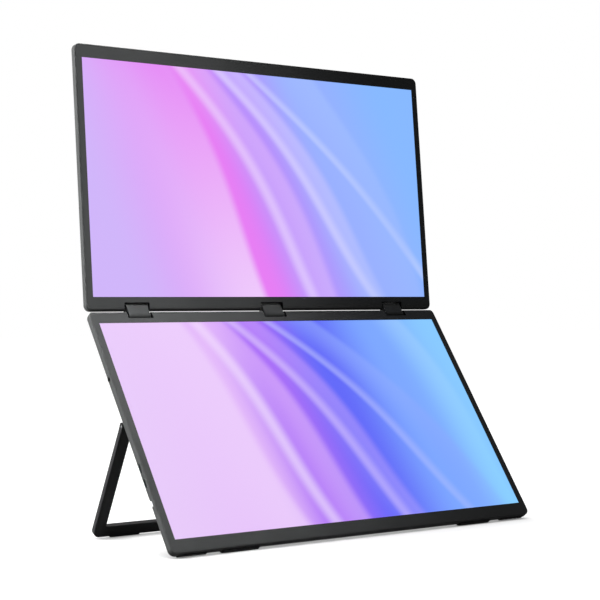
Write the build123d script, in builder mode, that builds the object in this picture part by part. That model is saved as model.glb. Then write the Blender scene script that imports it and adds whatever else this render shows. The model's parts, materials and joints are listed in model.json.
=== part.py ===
from build123d import *
import os
from math import cos, radians, sin

os.makedirs("parts", exist_ok=True)

# Stacked dual-screen monitor, in millimetres and degrees.
# X runs to the viewer's right, Y away from the viewer and Z up.
# The origin lies on the table, under the middle of the standing object.

# Picture area of each screen: 15.6 inches across, 16:9
SCREEN_W = 344.16
SCREEN_H = 193.59

# Rest pose: how far each screen and the stand's legs lean from upright
UPPER_LEAN = 5.4
LOWER_LEAN = 36.1
STAND_LEAN = 27.9

# Display module round its picture area
MODULE_SIDE = 3.3
MODULE_HINGE = 3.3
MODULE_FREE = 8.2
MODULE_ROOM = 0.3
MODULE_SEAT = 0.9

# Layers through a screen, from the front
BEZEL_T = 0.4
CELL_T = 0.7
BACKLIGHT_T = 0.9
REAR_WALL = 0.8

# Case walls and edges
SIDE_WALL = 2.7
HINGE_WALL = 0.8
RIM_LAND = 0.3
BEZEL_ROOM = 0.1
FRONT_ROUND = 1.0
EDGE_ROUND = 2.4
HINGE_ROUND = 2.65
CORNER_R = 5.0

# Hinges: three blocks, each with two parallel axes
HINGE_SIDE = 45.9
BLOCK_W = 20.0
BLOCK_INSET = 0.2
BLOCK_BEVEL = 0.5
CLOSED_GAP = 0.7
NOTCH_ROOM = 1.2
LIP_ROOM = 0.3
LIP_T = 2.5
NOTCH_R = 0.8
SHAFT_R = 1.2
SLEEVE_R = 1.8
SLEEVE_L = 18.0
SLEEVE_SLIT = 0.6
RUN_GAP = 0.05
PRESS_GAP = 0.02
EAR_T = 1.0
EAR_GAP = 0.3
EYE_WALL = 0.6
ARM_H = 2.4
LEAF_T = 0.8
LEAF_L = 14.0
LEAF_ROOM = 0.3

# Small screws and the bosses that take them
BOSS_R = 2.2
BOSS_H = 1.2
SCREW_R = 0.8
SCREW_HEAD_R = 1.6
SCREW_HEAD_H = 0.7
SCREW_ROOM = 0.05
SCREW_BITE = 1.6
BRACKET_SCREW_X = 7.0

# Flat ribbon through the middle hinge
RIBBON_W = 6.0
RIBBON_T = 0.3
RIBBON_ROOM = 0.2
RIBBON_TURN = 67.25

# Sockets and menu button on the left side of the lower screen
PORT_ROOM = 0.05
PORT_GAP = 0.1
PORT_SET = 0.3
JACK_R = 1.8
JACK_WALL = 0.25
JACK_W = 6.4
JACK_L = 12.0
JACK_END = 1.0
JACK_HINGE = 62.25
USB_W = 8.94
USB_H = 3.2
USB_WALL = 0.3
USB_L = 7.5
USB_END = 0.8
USB_TONGUE_W = 6.6
USB_TONGUE_T = 0.7
USB_TONGUE_L = 4.6
USB_FREE = (74.1, 61.1)
BUTTON_W = 5.0
BUTTON_H = 2.2
BUTTON_PROUD = 0.8
BUTTON_WALL = 1.2
BUTTON_FLANGE = 0.8
BUTTON_TRAVEL = 0.3
BUTTON_FREE = 43.6
SWITCH_W = 4.2
SWITCH_H = 1.6
SWITCH_L = 3.6

# Circuit boards
BOARD_T = 0.8
BOARD_LIFT = 0.8
MAIN_BOARD_W = 54.0
MAIN_BOARD_FREE = 28.0
BOARD_BOSS_GAP = 6.9
BOARD_GAP = 0.8
BOARD_SCREW_IN = 5.0
BOARD_SCREW_PITCH = 18.0
TIMING_BOARD_W = 120.0
TIMING_BOARD_L = 18.0
TIMING_BOARD_HINGE = 28.0
CHIP_SIZE = 12.0
CHIP_T = 1.0

# Stand: U-shaped frame of flat bar on two brackets
BAR_W = 9.6
BAR_T = 4.4
BAR_BEVEL = 0.3
STAND_CORNER_R = 6.0
STAND_INNER_R = 1.5
BARREL_R = 2.2
BARREL_GAP = 0.3
PIN_R = 1.2
PIN_SET = 0.4
WASHER_T = 0.4
WASHER_GAP = 0.1
BRACKET_W = 14.0
BRACKET_T = 1.2
BRACKET_L = 14.0
STAND_SCREW_R = 0.9
STAND_SCREW_HEAD_R = 1.8
STAND_SCREW_HEAD_H = 0.9
STAND_SCREW_IN = 3.4
STAND_BOSS_R = 2.4
STAND_BOSS_H = 2.4

# Rubber under the lower screen and under the stand
FOOT_PROUD = 1.5
FOOT_FLAT = 0.3
FOOT_L = 33.0
FOOT_SIDE = 61.4
FOOT_FACE = 2.0
CORNER_PAD_PROUD = 0.8
CORNER_PAD_L = 25.0
CORNER_PAD_SIDE = 18.9
PAD_L = 27.5
PAD_SIDE = 29.5

# Bay on the lower screen's back, framed by the folded stand
VESA_PITCH = 75.0
INSERT_BORE_R = 2.0
INSERT_WALL = 0.9
INSERT_L = 4.4
INSERT_BOSS_WALL = 1.8
BAY_H = 4.4
BAY_WALL = 1.2
BAY_MARGIN = 5.5
BAY_SIDE_GAP = 5.0
BAY_END_GAP = 1.5
BAY_PIVOT_GAP = 4.2
BAY_CORNER_R = 6.0
BAY_BEVEL = 1.0
BAY_LAND = 21.0
BAY_END_LAND = 2.5
BAY_POST_R = 2.8
BAY_POST_IN = 7.0
BAY_SCREW_R = 1.0
BAY_SCREW_HEAD_R = 2.0
BAY_SCREW_HEAD_H = 0.6
SPEAKER_W = 44.0
SPEAKER_L = 18.0
SPEAKER_H = 4.0
SPEAKER_IN = 76.0
SPEAKER_CONE = 0.8
CONE_INSET = 2.5
GRILLE_SLOTS = 9
GRILLE_PITCH = 3.4
GRILLE_SLOT_W = 1.4
GRILLE_SLOT_L = 11.0
VENT_SLOTS = 8
VENT_IN = 36.0
VENT_SLOT_L = 26.0

# Case sizes that follow from what the case holds
JACK_OUT_R = JACK_R + JACK_WALL
CAVITY_D = 2 * (JACK_OUT_R + PORT_ROOM)
CASE_T = BEZEL_T + CELL_T + BACKLIGHT_T + CAVITY_D + REAR_WALL
BLOCK_R = CASE_T / 2 - BLOCK_INSET
AXIS_INSET = HINGE_ROUND
AXIS_SPAN = CASE_T + CLOSED_GAP
NOTCH_D = AXIS_INSET + BLOCK_R + NOTCH_ROOM
LIP_D = AXIS_INSET + BLOCK_R + LIP_ROOM
EAR_SPAN = BLOCK_W + 2 * (EAR_GAP + EAR_T)
NOTCH_W = EAR_SPAN + 2 * EAR_GAP
MODULE_Y = NOTCH_D + HINGE_WALL + MODULE_ROOM
MODULE_W = SCREEN_W + 2 * MODULE_SIDE
MODULE_H = MODULE_HINGE + SCREEN_H + MODULE_FREE
SCREEN_Y = MODULE_Y + MODULE_HINGE
CASE_W = MODULE_W + 2 * (MODULE_ROOM + SIDE_WALL)
CASE_H = MODULE_Y + MODULE_H + MODULE_ROOM + SIDE_WALL
RIM = FRONT_ROUND + RIM_LAND
BEZEL_Y = HINGE_ROUND + RIM_LAND
HINGE_X = CASE_W / 2 - HINGE_SIDE
HINGE_PLACES = (-HINGE_X, 0, HINGE_X)
CAVITY_X = MODULE_W / 2 - MODULE_SEAT
CAVITY_Y = MODULE_Y + MODULE_SEAT

# Levels through a screen, from its middle plane towards the viewer
FRONT_Z = CASE_T / 2
GLASS_Z = FRONT_Z - BEZEL_T
LIGHT_Z = GLASS_Z - CELL_T
SEAT_Z = LIGHT_Z - BACKLIGHT_T
FLOOR_Z = SEAT_Z - CAVITY_D
BACK_Z = FLOOR_Z - REAR_WALL
PORT_Z = (SEAT_Z + FLOOR_Z) / 2
BOARD_Z = FLOOR_Z + BOARD_LIFT
BAY_OUT_Z = BACK_Z - BAY_H
BAY_FLOOR_Z = BAY_OUT_Z + BAY_WALL
PIVOT_Z = BACK_Z - BARREL_GAP - BARREL_R

# Stand and bay: the closed frame lies round the bay
STAND_HALF = CASE_W / 2
BAY_HALF = STAND_HALF - BAR_W - BAY_SIDE_GAP
BAY_L = VESA_PITCH + 2 * BAY_MARGIN
STAND_REACH = BAY_PIVOT_GAP + BAY_L + BAY_END_GAP + BAR_W
PAD_R = BAR_T / 2
PIVOT_HEIGHT = STAND_REACH * cos(radians(STAND_LEAN)) + PAD_R - FOOT_FLAT
BRACKET_X = STAND_HALF - BAR_W - WASHER_T - 2 * WASHER_GAP

# Directions up along each screen, and out of its front
LOWER_UP = Vector(0, sin(radians(LOWER_LEAN)), cos(radians(LOWER_LEAN)))
LOWER_FRONT = Vector(0, -LOWER_UP.Z, LOWER_UP.Y)
UPPER_UP = Vector(0, sin(radians(UPPER_LEAN)), cos(radians(UPPER_LEAN)))
UPPER_FRONT = Vector(0, -UPPER_UP.Z, UPPER_UP.Y)
LEG_DOWN = Vector(0, sin(radians(STAND_LEAN)), -cos(radians(STAND_LEAN)))

# The lower screen's bottom rear corner stands on the feet, and the stand's pivot is where
# its legs reach the table
CORNER_HEIGHT = EDGE_ROUND + FOOT_PROUD - FOOT_FLAT
AXIS_HEIGHT = (
    CORNER_HEIGHT
    + (CASE_H - EDGE_ROUND - AXIS_INSET) * LOWER_UP.Z
    - (BACK_Z + EDGE_ROUND) * LOWER_UP.Y
)
PIVOT_Y = AXIS_INSET + (AXIS_HEIGHT + PIVOT_Z * LOWER_UP.Y - PIVOT_HEIGHT) / LOWER_UP.Z
BAY_Y = PIVOT_Y + BAY_PIVOT_GAP
BAY_MID = BAY_Y + BAY_L / 2

# Reach in front of the lower hinge axis and behind it, which sets the middle of the depth
REACH_FRONT = (
    (CASE_H - FRONT_ROUND - AXIS_INSET) * LOWER_UP.Y
    + (FRONT_Z - FRONT_ROUND) * LOWER_UP.Z
    + FRONT_ROUND
)
REACH_BACK = (
    AXIS_SPAN * LOWER_UP.Y
    + (CASE_H - EDGE_ROUND - AXIS_INSET) * UPPER_UP.Y
    - (BACK_Z + EDGE_ROUND) * UPPER_UP.Z
    + EDGE_ROUND
)
LOWER_AXIS = Vector(0, (REACH_FRONT - REACH_BACK) / 2, AXIS_HEIGHT)
UPPER_AXIS = LOWER_AXIS + LOWER_UP * AXIS_SPAN

# Planes of the moving pieces. On a screen, y runs from the hinge edge to the free edge and
# z out of the front. On a hinge block, y runs from the lower axis to the upper one. On the
# stand, y runs from the pivot down the legs.
LOWER = Plane(LOWER_AXIS + LOWER_UP * AXIS_INSET, x_dir=(-1, 0, 0), z_dir=LOWER_FRONT)
UPPER = Plane(UPPER_AXIS - UPPER_UP * AXIS_INSET, x_dir=(1, 0, 0), z_dir=UPPER_FRONT)
BLOCK = Plane(LOWER_AXIS, x_dir=(1, 0, 0), z_dir=LOWER_FRONT)
PIVOT = LOWER.from_local_coords(Vector(0, PIVOT_Y, PIVOT_Z))
STAND = Plane(PIVOT, x_dir=(-1, 0, 0), z_dir=Vector(-1, 0, 0).cross(LEG_DOWN))
SCREENS = (("lower", LOWER), ("upper", UPPER))

BRACKET_SCREWS = [
    (x + side * BRACKET_SCREW_X, CAVITY_Y + LEAF_ROOM + LEAF_L / 2)
    for x in HINGE_PLACES
    for side in (-1, 1)
]


def across(plane, x):
    """Plane square to a piece's x axis, with the piece's y and z as its x and y."""
    return Plane(
        plane.from_local_coords(Vector(x, 0, 0)), x_dir=plane.y_dir, z_dir=plane.x_dir
    )


def module_area(margin):
    """Outline of the display module, grown by a margin on every side."""
    with Locations((0, MODULE_Y + MODULE_H / 2)):
        Rectangle(MODULE_W + 2 * margin, MODULE_H + 2 * margin)


def bosses(plane, points, radius, height, hole_r, depth):
    """Round bosses on a face, with a blind hole down each."""
    with BuildPart() as group:
        with BuildSketch(plane):
            with Locations(*points):
                Circle(radius)
        extrude(amount=height)
        with BuildSketch(plane.offset(height)):
            with Locations(*points):
                Circle(hole_r)
        extrude(amount=-depth, mode=Mode.SUBTRACT)
    return group.part


def screws(seat, points, shank_r, shank_l, head_r, head_h):
    """Cheese-head screws driven into a face, their heads standing on it."""
    with BuildPart() as group:
        with BuildSketch(seat):
            with Locations(*points):
                Circle(head_r)
        extrude(amount=head_h)
        with BuildSketch(seat):
            with Locations(*points):
                Circle(shank_r)
        extrude(amount=-shank_l)
    return group.part


def tray(plane):
    """Rear cover of one screen: a shallow alloy tray with hinge notches in one edge."""
    outward = Axis(plane.origin, plane.z_dir)
    with BuildPart() as body:
        with BuildSketch(plane.offset(BACK_Z)):
            with Locations((0, CASE_H / 2)):
                RectangleRounded(CASE_W, CASE_H, CORNER_R)
        extrude(amount=CASE_T)
        fillet(body.faces().sort_by(outward)[0].edges(), EDGE_ROUND)
        fillet(body.faces().sort_by(outward)[-1].edges(), FRONT_ROUND)
        # The hinge edge is rounder than the others, and alike at its front and back
        with BuildSketch(across(plane, -CASE_W / 2)):
            for side in (-1, 1):
                with Locations((0, side * FRONT_Z)):
                    Rectangle(2 * HINGE_ROUND, 2 * HINGE_ROUND)
                with Locations((HINGE_ROUND, side * (FRONT_Z - HINGE_ROUND))):
                    Circle(HINGE_ROUND, mode=Mode.SUBTRACT)
        extrude(amount=CASE_W, mode=Mode.SUBTRACT)
        # Rebate for the bezel
        with BuildSketch(plane.offset(FRONT_Z)):
            with Locations((0, (BEZEL_Y + CASE_H - RIM) / 2)):
                RectangleRounded(CASE_W - 2 * RIM, CASE_H - RIM - BEZEL_Y, CORNER_R - RIM)
        extrude(amount=-BEZEL_T, mode=Mode.SUBTRACT)
        # Pocket for the display module, and the deeper cavity inside its ledge
        with BuildSketch(plane.offset(GLASS_Z)):
            module_area(MODULE_ROOM)
        extrude(amount=SEAT_Z - GLASS_Z, mode=Mode.SUBTRACT)
        with BuildSketch(plane.offset(SEAT_Z)):
            module_area(-MODULE_SEAT)
        extrude(amount=-CAVITY_D, mode=Mode.SUBTRACT)
        # Notches for the hinge blocks, with a lip at the back that closes the view past the block
        for depth, level in ((LIP_D, BACK_Z), (NOTCH_D, BACK_Z + LIP_T)):
            with BuildSketch(plane.offset(level)):
                with Locations(*[(x, 0) for x in HINGE_PLACES]):
                    RectangleRounded(NOTCH_W, 2 * depth, NOTCH_R)
            extrude(amount=FRONT_Z - level, mode=Mode.SUBTRACT)
        # Slots for the bracket ears behind the notches
        with BuildSketch(plane.offset(FLOOR_Z)):
            for x in HINGE_PLACES:
                for side in (-1, 1):
                    ear_x = x + side * (EAR_SPAN - EAR_T) / 2
                    with Locations((ear_x, (LIP_D + CAVITY_Y) / 2)):
                        Rectangle(EAR_T + 2 * EAR_GAP, CAVITY_Y - LIP_D + 2 * NOTCH_R)
        extrude(amount=GLASS_Z - FLOOR_Z, mode=Mode.SUBTRACT)
        # Slot for the ribbon in the middle notch
        with BuildSketch(plane.offset(FLOOR_Z)):
            with Locations((0, (LIP_D + CAVITY_Y) / 2)):
                Rectangle(RIBBON_W + 2 * RIBBON_ROOM, CAVITY_Y - LIP_D + 2 * RIBBON_ROOM)
        extrude(amount=RIBBON_T + 2 * RIBBON_ROOM, mode=Mode.SUBTRACT)
        add(
            bosses(
                plane.offset(FLOOR_Z),
                BRACKET_SCREWS,
                BOSS_R,
                BOSS_H,
                SCREW_R + SCREW_ROOM,
                BOSS_H,
            )
        )
    return body.part


# Upper rear cover: the tray, with bosses for the timing board
TIMING_SCREWS = [
    (x * (TIMING_BOARD_W / 2 - BOARD_SCREW_IN), TIMING_BOARD_HINGE + BOARD_SCREW_IN)
    for x in (-1, 1)
]
with BuildPart() as upper_rear_cover:
    add(tray(UPPER))
    add(
        bosses(
            UPPER.offset(FLOOR_Z),
            TIMING_SCREWS,
            BOSS_R,
            BOARD_LIFT,
            SCREW_R + SCREW_ROOM,
            BOARD_LIFT,
        )
    )
upper_rear_cover.part.label = "upper_rear_cover"
export_step(upper_rear_cover.part, "parts/upper_rear_cover.step")

# Lower rear cover: the tray, with ports, button hole, stand bosses and the bay's opening
SIDE_X = CASE_W / 2
USB_PLACES = [CASE_H - free for free in USB_FREE]
BUTTON_Y = CASE_H - BUTTON_FREE
MAIN_BOARD_X = CAVITY_X - BOARD_GAP
STAND_SCREW_Y = PIVOT_Y - BRACKET_L + STAND_SCREW_IN
MAIN_BOARD_Y = (STAND_SCREW_Y + STAND_BOSS_R + BOARD_BOSS_GAP, CASE_H - MAIN_BOARD_FREE)
MAIN_BOARD_SCREWS = [
    (MAIN_BOARD_X - BOARD_SCREW_IN - step, y)
    for step in (0, BOARD_SCREW_PITCH)
    for y in (MAIN_BOARD_Y[0] + BOARD_SCREW_IN, MAIN_BOARD_Y[1] - BOARD_SCREW_IN)
]
STAND_SCREWS = [
    (side * (BRACKET_X - inset), STAND_SCREW_Y)
    for side in (-1, 1)
    for inset in (STAND_SCREW_IN, BRACKET_W - STAND_SCREW_IN)
]
BAY_SCREWS = [
    (side * (BAY_HALF - BAY_POST_IN), BAY_MID + step * (BAY_L / 2 - BAY_POST_IN))
    for side in (-1, 1)
    for step in (-1, 0, 1)
]
POST_H = BAY_H - BAY_WALL
with BuildPart() as lower_rear_cover:
    add(tray(LOWER))
    add(
        bosses(
            LOWER.offset(FLOOR_Z),
            MAIN_BOARD_SCREWS,
            BOSS_R,
            BOARD_LIFT,
            SCREW_R + SCREW_ROOM,
            BOARD_LIFT,
        )
    )
    # Opening into the bay, with screw posts standing round it
    with BuildSketch(LOWER.offset(FLOOR_Z)):
        with Locations((0, BAY_MID)):
            Rectangle(2 * (BAY_HALF - BAY_LAND), BAY_L - 2 * BAY_END_LAND)
    extrude(amount=-REAR_WALL, mode=Mode.SUBTRACT)
    with BuildSketch(LOWER.offset(BACK_Z)):
        with Locations(*BAY_SCREWS):
            Circle(BAY_POST_R)
    extrude(amount=-POST_H)
    with BuildSketch(LOWER.offset(BAY_FLOOR_Z)):
        with Locations(*BAY_SCREWS):
            Circle(BAY_SCREW_R + SCREW_ROOM)
    extrude(amount=POST_H, mode=Mode.SUBTRACT)
    # Bosses inside, and holes through the wall, for the stand's screws
    with BuildSketch(LOWER.offset(FLOOR_Z)):
        with Locations(*STAND_SCREWS):
            Circle(STAND_BOSS_R)
    extrude(amount=STAND_BOSS_H)
    with BuildSketch(LOWER.offset(BACK_Z)):
        with Locations(*STAND_SCREWS):
            Circle(STAND_SCREW_R + SCREW_ROOM)
    extrude(amount=REAR_WALL + STAND_BOSS_H, mode=Mode.SUBTRACT)
    # Port holes through the left wall
    with BuildSketch(across(LOWER, CAVITY_X)):
        with Locations(*[(y, PORT_Z) for y in USB_PLACES]):
            SlotOverall(USB_W + 2 * PORT_GAP, USB_H + 2 * PORT_GAP)
        with Locations((JACK_HINGE, PORT_Z)):
            Circle(JACK_OUT_R + PORT_GAP)
    extrude(amount=2 * (SIDE_X - CAVITY_X), mode=Mode.SUBTRACT)
    # The wall is thinned inside at the menu button, and the button's hole goes through it
    with BuildSketch(LOWER.offset(FLOOR_Z)):
        with Locations(((CAVITY_X + SIDE_X - BUTTON_WALL) / 2, BUTTON_Y)):
            Rectangle(
                SIDE_X - BUTTON_WALL - CAVITY_X, BUTTON_W + 2 * BUTTON_FLANGE + 2 * PORT_GAP
            )
    extrude(amount=CAVITY_D, mode=Mode.SUBTRACT)
    with BuildSketch(across(LOWER, CAVITY_X)):
        with Locations((BUTTON_Y, PORT_Z)):
            SlotOverall(BUTTON_W + 2 * PORT_GAP, BUTTON_H + 2 * PORT_GAP)
    extrude(amount=2 * (SIDE_X - CAVITY_X), mode=Mode.SUBTRACT)
lower_rear_cover.part.label = "lower_rear_cover"
export_step(lower_rear_cover.part, "parts/lower_rear_cover.step")

# Bezels, display cells and backlight units
for name, screen in SCREENS:
    with BuildPart() as bezel:
        with BuildSketch(screen.offset(GLASS_Z)):
            with Locations((0, (BEZEL_Y + CASE_H - RIM) / 2)):
                RectangleRounded(
                    CASE_W - 2 * (RIM + BEZEL_ROOM),
                    CASE_H - RIM - BEZEL_Y - 2 * BEZEL_ROOM,
                    CORNER_R - RIM,
                )
            with Locations((0, SCREEN_Y + SCREEN_H / 2)):
                Rectangle(SCREEN_W, SCREEN_H, mode=Mode.SUBTRACT)
            with Locations(*[(x, 0) for x in HINGE_PLACES]):
                RectangleRounded(NOTCH_W, 2 * NOTCH_D, NOTCH_R, mode=Mode.SUBTRACT)
        extrude(amount=BEZEL_T)
    bezel.part.label = f"{name}_bezel"
    export_step(bezel.part, f"parts/{name}_bezel.step")

    with BuildPart() as lcd_cell:
        with BuildSketch(screen.offset(LIGHT_Z)):
            module_area(0)
        extrude(amount=CELL_T)
    lcd_cell.part.label = f"{name}_lcd_cell"
    export_step(lcd_cell.part, f"parts/{name}_lcd_cell.step")

    with BuildPart() as backlight:
        with BuildSketch(screen.offset(SEAT_Z)):
            module_area(0)
        extrude(amount=BACKLIGHT_T)
    backlight.part.label = f"{name}_backlight"
    export_step(backlight.part, f"parts/{name}_backlight.step")

# Hinge brackets: a leaf on two bosses, with an ear at each side that carries the shaft
LEAF_Y = CAVITY_Y + LEAF_ROOM
LEAF_Z = FLOOR_Z + BOSS_H
for name, screen in SCREENS:
    with BuildPart() as brackets:
        with BuildSketch(screen.offset(LEAF_Z)):
            with Locations(*[(x, LEAF_Y + LEAF_L / 2) for x in HINGE_PLACES]):
                RectangleRounded(EAR_SPAN, LEAF_L, NOTCH_R)
            with Locations(*BRACKET_SCREWS):
                Circle(SCREW_R + SCREW_ROOM, mode=Mode.SUBTRACT)
        extrude(amount=LEAF_T)
        for x in HINGE_PLACES:
            for ear_x in (x - EAR_SPAN / 2, x + EAR_SPAN / 2 - EAR_T):
                with BuildSketch(across(screen, ear_x)):
                    with Locations(((AXIS_INSET + LEAF_Y + LEAF_L / 2) / 2, LEAF_Z + ARM_H / 2)):
                        Rectangle(LEAF_Y + LEAF_L / 2 - AXIS_INSET, ARM_H)
                    with Locations((AXIS_INSET, 0)):
                        Circle(SHAFT_R + EYE_WALL)
                        Circle(SHAFT_R + PRESS_GAP, mode=Mode.SUBTRACT)
                extrude(amount=EAR_T)
    brackets.part.label = f"{name}_hinge_brackets"
    export_step(brackets.part, f"parts/{name}_hinge_brackets.step")

    with BuildPart() as shafts:
        for x in HINGE_PLACES:
            with BuildSketch(across(screen, x - EAR_SPAN / 2)):
                with Locations((AXIS_INSET, 0)):
                    Circle(SHAFT_R)
            extrude(amount=EAR_SPAN)
    shafts.part.label = f"{name}_hinge_shafts"
    export_step(shafts.part, f"parts/{name}_hinge_shafts.step")

    with BuildPart() as bracket_screws:
        add(
            screws(
                screen.offset(LEAF_Z + LEAF_T),
                BRACKET_SCREWS,
                SCREW_R,
                SCREW_BITE,
                SCREW_HEAD_R,
                SCREW_HEAD_H,
            )
        )
    bracket_screws.part.label = f"{name}_bracket_screws"
    export_step(bracket_screws.part, f"parts/{name}_bracket_screws.step")

# Hinge blocks: two parallel bores, one for each screen's shaft
BLOCK_END = AXIS_SPAN / 2 + BLOCK_R
RIBBON_Z = -(BLOCK_R + SLEEVE_R + RIBBON_T) / 2
for name, x in zip(("left", "centre", "right"), HINGE_PLACES):
    with BuildPart() as hinge_block:
        with BuildSketch(across(BLOCK, x - BLOCK_W / 2)):
            with Locations((AXIS_SPAN / 2, 0)):
                SlotCenterToCenter(AXIS_SPAN, 2 * BLOCK_R)
        extrude(amount=BLOCK_W)
        chamfer(hinge_block.faces().sort_by(Axis.X)[0].edges(), BLOCK_BEVEL)
        chamfer(hinge_block.faces().sort_by(Axis.X)[-1].edges(), BLOCK_BEVEL)
        with BuildSketch(across(BLOCK, x - BLOCK_W / 2)):
            with Locations((0, 0), (AXIS_SPAN, 0)):
                Circle(SLEEVE_R + PRESS_GAP)
        extrude(amount=BLOCK_W, mode=Mode.SUBTRACT)
        if name == "centre":
            with BuildSketch(BLOCK.offset(RIBBON_Z - RIBBON_ROOM)):
                with Locations((x, AXIS_SPAN / 2)):
                    Rectangle(RIBBON_W + 2 * RIBBON_ROOM, 2 * BLOCK_END)
            extrude(amount=RIBBON_T + 2 * RIBBON_ROOM, mode=Mode.SUBTRACT)
    hinge_block.part.label = f"hinge_block_{name}"
    export_step(hinge_block.part, f"parts/hinge_block_{name}.step")

# Friction sleeves: slit tubes pressed into the blocks, gripping the shafts
with BuildPart() as friction_sleeves:
    for x in HINGE_PLACES:
        with BuildSketch(across(BLOCK, x - SLEEVE_L / 2)):
            with Locations((0, 0), (AXIS_SPAN, 0)):
                Circle(SLEEVE_R)
                Circle(SHAFT_R + RUN_GAP, mode=Mode.SUBTRACT)
            with Locations((SLEEVE_R, 0), (AXIS_SPAN + SLEEVE_R, 0)):
                Rectangle(2 * SLEEVE_R, SLEEVE_SLIT, mode=Mode.SUBTRACT)
        extrude(amount=SLEEVE_L)
friction_sleeves.part.label = "friction_sleeves"
export_step(friction_sleeves.part, "parts/friction_sleeves.step")

# Ribbon in three stretches: inside the centre block and inside each screen
with BuildPart() as hinge_ribbon:
    with BuildSketch(BLOCK.offset(RIBBON_Z - RIBBON_ROOM)):
        with Locations((0, AXIS_SPAN / 2)):
            Rectangle(RIBBON_W, AXIS_SPAN)
    extrude(amount=RIBBON_T)
hinge_ribbon.part.label = "hinge_ribbon"
export_step(hinge_ribbon.part, "parts/hinge_ribbon.step")

with BuildPart() as upper_ribbon:
    with BuildSketch(UPPER.offset(FLOOR_Z)):
        with Locations((0, (NOTCH_D + TIMING_BOARD_HINGE + TIMING_BOARD_L / 2) / 2)):
            Rectangle(RIBBON_W, TIMING_BOARD_HINGE + TIMING_BOARD_L / 2 - NOTCH_D)
    extrude(amount=RIBBON_T)
upper_ribbon.part.label = "upper_ribbon"
export_step(upper_ribbon.part, "parts/upper_ribbon.step")

RIBBON_X = MAIN_BOARD_X - MAIN_BOARD_W + RIBBON_W
RIBBON_END = MAIN_BOARD_Y[0] + BAY_END_LAND
with BuildPart() as lower_ribbon:
    with BuildSketch(LOWER.offset(FLOOR_Z)):
        with Locations((0, (NOTCH_D + RIBBON_TURN) / 2)):
            Rectangle(RIBBON_W, RIBBON_TURN - NOTCH_D)
        with Locations(((RIBBON_X - RIBBON_W) / 2, RIBBON_TURN)):
            Rectangle(RIBBON_X + 2 * RIBBON_W, RIBBON_W)
        with Locations((RIBBON_X, (RIBBON_TURN + RIBBON_END) / 2)):
            Rectangle(RIBBON_W, RIBBON_END - RIBBON_TURN)
    extrude(amount=RIBBON_T)
lower_ribbon.part.label = "lower_ribbon"
export_step(lower_ribbon.part, "parts/lower_ribbon.step")

# Timing board of the upper screen, with its driver chip
with BuildPart() as timing_board:
    with BuildSketch(UPPER.offset(BOARD_Z)):
        with Locations((0, TIMING_BOARD_HINGE + TIMING_BOARD_L / 2)):
            Rectangle(TIMING_BOARD_W, TIMING_BOARD_L)
        with Locations(*TIMING_SCREWS):
            Circle(SCREW_R + SCREW_ROOM, mode=Mode.SUBTRACT)
    extrude(amount=BOARD_T)
    with BuildSketch(UPPER.offset(BOARD_Z + BOARD_T)):
        with Locations((0, TIMING_BOARD_HINGE + TIMING_BOARD_L / 2)):
            Rectangle(CHIP_SIZE, CHIP_SIZE)
    extrude(amount=CHIP_T)
timing_board.part.label = "timing_board"
export_step(timing_board.part, "parts/timing_board.step")

with BuildPart() as timing_board_screws:
    add(
        screws(
            UPPER.offset(BOARD_Z + BOARD_T),
            TIMING_SCREWS,
            SCREW_R,
            BOARD_T + BOARD_LIFT - SCREW_ROOM,
            SCREW_HEAD_R,
            SCREW_HEAD_H,
        )
    )
timing_board_screws.part.label = "timing_board_screws"
export_step(timing_board_screws.part, "parts/timing_board_screws.step")

# Main board of the lower screen, notched at its sockets
USB_INNER_X = SIDE_X - PORT_SET - USB_L
with BuildPart() as main_board:
    with BuildSketch(LOWER.offset(BOARD_Z)):
        with Locations((MAIN_BOARD_X - MAIN_BOARD_W / 2, sum(MAIN_BOARD_Y) / 2)):
            Rectangle(MAIN_BOARD_W, MAIN_BOARD_Y[1] - MAIN_BOARD_Y[0])
        with Locations(*[((USB_INNER_X + SIDE_X) / 2, y) for y in USB_PLACES]):
            Rectangle(
                SIDE_X - USB_INNER_X + 2 * PORT_GAP, USB_W + 2 * PORT_GAP, mode=Mode.SUBTRACT
            )
        with Locations(*MAIN_BOARD_SCREWS):
            Circle(SCREW_R + SCREW_ROOM, mode=Mode.SUBTRACT)
    extrude(amount=BOARD_T)
    with BuildSketch(LOWER.offset(BOARD_Z + BOARD_T)):
        with Locations((MAIN_BOARD_X - MAIN_BOARD_W / 2, sum(MAIN_BOARD_Y) / 2)):
            Rectangle(CHIP_SIZE, CHIP_SIZE)
    extrude(amount=CHIP_T)
main_board.part.label = "main_board"
export_step(main_board.part, "parts/main_board.step")

with BuildPart() as main_board_screws:
    add(
        screws(
            LOWER.offset(BOARD_Z + BOARD_T),
            MAIN_BOARD_SCREWS,
            SCREW_R,
            BOARD_T + BOARD_LIFT - SCREW_ROOM,
            SCREW_HEAD_R,
            SCREW_HEAD_H,
        )
    )
main_board_screws.part.label = "main_board_screws"
export_step(main_board_screws.part, "parts/main_board_screws.step")

# USB-C sockets: round-ended shells with a tongue inside
with BuildPart() as usb_c_sockets:
    for y in USB_PLACES:
        with BuildSketch(across(LOWER, USB_INNER_X)):
            with Locations((y, PORT_Z)):
                SlotOverall(USB_W, USB_H)
        extrude(amount=USB_L)
        with BuildSketch(across(LOWER, USB_INNER_X + USB_END)):
            with Locations((y, PORT_Z)):
                SlotOverall(USB_W - 2 * USB_WALL, USB_H - 2 * USB_WALL)
        extrude(amount=USB_L - USB_END, mode=Mode.SUBTRACT)
        with BuildSketch(across(LOWER, USB_INNER_X + USB_END)):
            with Locations((y, PORT_Z)):
                Rectangle(USB_TONGUE_W, USB_TONGUE_T)
        extrude(amount=USB_TONGUE_L)
usb_c_sockets.part.label = "usb_c_sockets"
export_step(usb_c_sockets.part, "parts/usb_c_sockets.step")

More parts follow.
